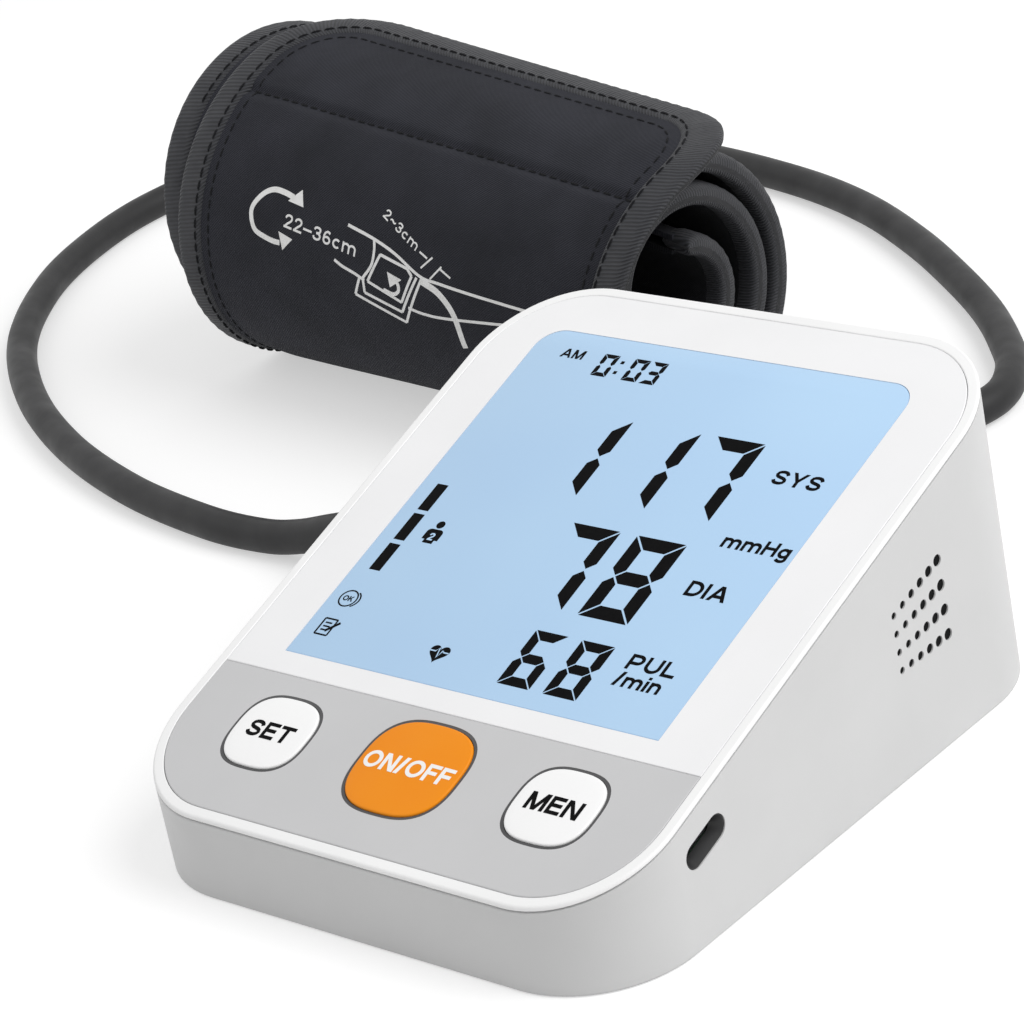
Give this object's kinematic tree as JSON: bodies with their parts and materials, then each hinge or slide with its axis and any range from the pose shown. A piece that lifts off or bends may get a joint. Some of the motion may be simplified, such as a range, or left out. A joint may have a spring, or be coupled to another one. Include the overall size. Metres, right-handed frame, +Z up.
{
  "type": "upper arm blood pressure monitor",
  "caption": "Wedge-shaped blood pressure monitor with a large sloping display, push buttons, a rolled arm cuff and an air hose that plugs into the console.",
  "frame": {"origin": "middle of the console's underside, on the table", "axes": "+Z up, +X to the right of someone reading the display, +Y from the reader to the back"},
  "size_m": [0.3639, 0.3234, 0.0821],
  "materials": {
    "light_grey_abs": "fine matt",
    "white_abs": "satin",
    "grey_panel": "satin",
    "display_lens": "clear over a blue backlight",
    "lcd_glass": "clear",
    "diffuser": "matt",
    "white_button": "satin",
    "orange_button": "satin",
    "silicone": "matt",
    "circuit_board": "solder mask",
    "black_plastic": "matt",
    "steel": "plain",
    "cell_sleeve": "printed sleeve",
    "rubber_foot": "matt",
    "black_nylon": "woven",
    "binding_tape": "woven tape",
    "bladder_film": "smooth film",
    "hose_rubber": "smooth"
  },
  "bodies": {
    "monitor": {"air_hose": "hose_rubber", "air_jack": "white_abs", "air_manifold": "black_plastic", "backlight_plate": "diffuser", "battery_1": "cell_sleeve", "battery_2": "cell_sleeve", "battery_3": "cell_sleeve", "battery_4": "cell_sleeve", "battery_bay": "black_plastic", "board_screw_1": "steel", "board_screw_2": "steel", "board_screw_3": "steel", "board_screw_4": "steel", "button_panel": "grey_panel", "case_screw_1": "steel", "case_screw_2": "steel", "case_screw_3": "steel", "case_screw_4": "steel", "contact_strip_front": "steel", "contact_strip_rear": "steel", "cuff_binding": "binding_tape", "cuff_bladder": "bladder_film", "cuff_inner_cloth": "black_nylon", "cuff_outer_cloth": "black_nylon", "cuff_port": "hose_rubber", "display_lens": "display_lens", "display_panel": "white_abs", "face_frame": "white_abs", "foot_1": "rubber_foot", "foot_2": "rubber_foot", "foot_3": "rubber_foot", "foot_4": "rubber_foot", "hook_patch": "black_nylon", "keypad": "silicone", "lcd_glass": "lcd_glass", "lcd_holder": "black_plastic", "lower_case": "light_grey_abs", "main_board": "circuit_board", "pressure_sensor": "black_plastic", "pump_head": "black_plastic", "pump_motor": "steel", "release_valve": "steel", "speaker": "black_plastic", "switch_memory": "black_plastic", "switch_power": "black_plastic", "switch_set": "black_plastic", "tube_pump": "silicone", "tube_sensor": "silicone", "tube_valve": "silicone", "usb_socket": "steel", "zebra_strip": "silicone"},
    "button_set": {"button_set": "white_button"},
    "button_power": {"button_power": "orange_button"},
    "button_memory": {"button_memory": "white_button"},
    "battery_door": {"battery_door": "light_grey_abs"},
    "air_plug": {"air_plug": "hose_rubber"}
  },
  "joints": [
    {"name": "set_press", "type": "slide", "parent": "monitor", "child": "button_set", "axis": [0, 0.3123, -0.95], "range_m": [0, 0.001], "stiffness_N_per_m": 600, "springref_m": -0.0005, "deforming": ["keypad"]},
    {"name": "power_press", "type": "slide", "parent": "monitor", "child": "button_power", "axis": [0, 0.3123, -0.95], "range_m": [0, 0.001], "stiffness_N_per_m": 600, "springref_m": -0.0005, "deforming": ["keypad"]},
    {"name": "memory_press", "type": "slide", "parent": "monitor", "child": "button_memory", "axis": [0, 0.3123, -0.95], "range_m": [0, 0.001], "stiffness_N_per_m": 600, "springref_m": -0.0005, "deforming": ["keypad"]},
    {"name": "battery_door_swing", "type": "hinge", "parent": "monitor", "child": "battery_door", "pos_m": [0.0021, 0.0054, 0], "axis": [-1, 0, 0], "range_deg": [0, 95]},
    {"name": "plug_pull", "type": "slide", "parent": "monitor", "child": "air_plug", "axis": [-1, 0, 0], "range_m": [0, 0.014], "deforming": ["air_hose"]}
  ]
}
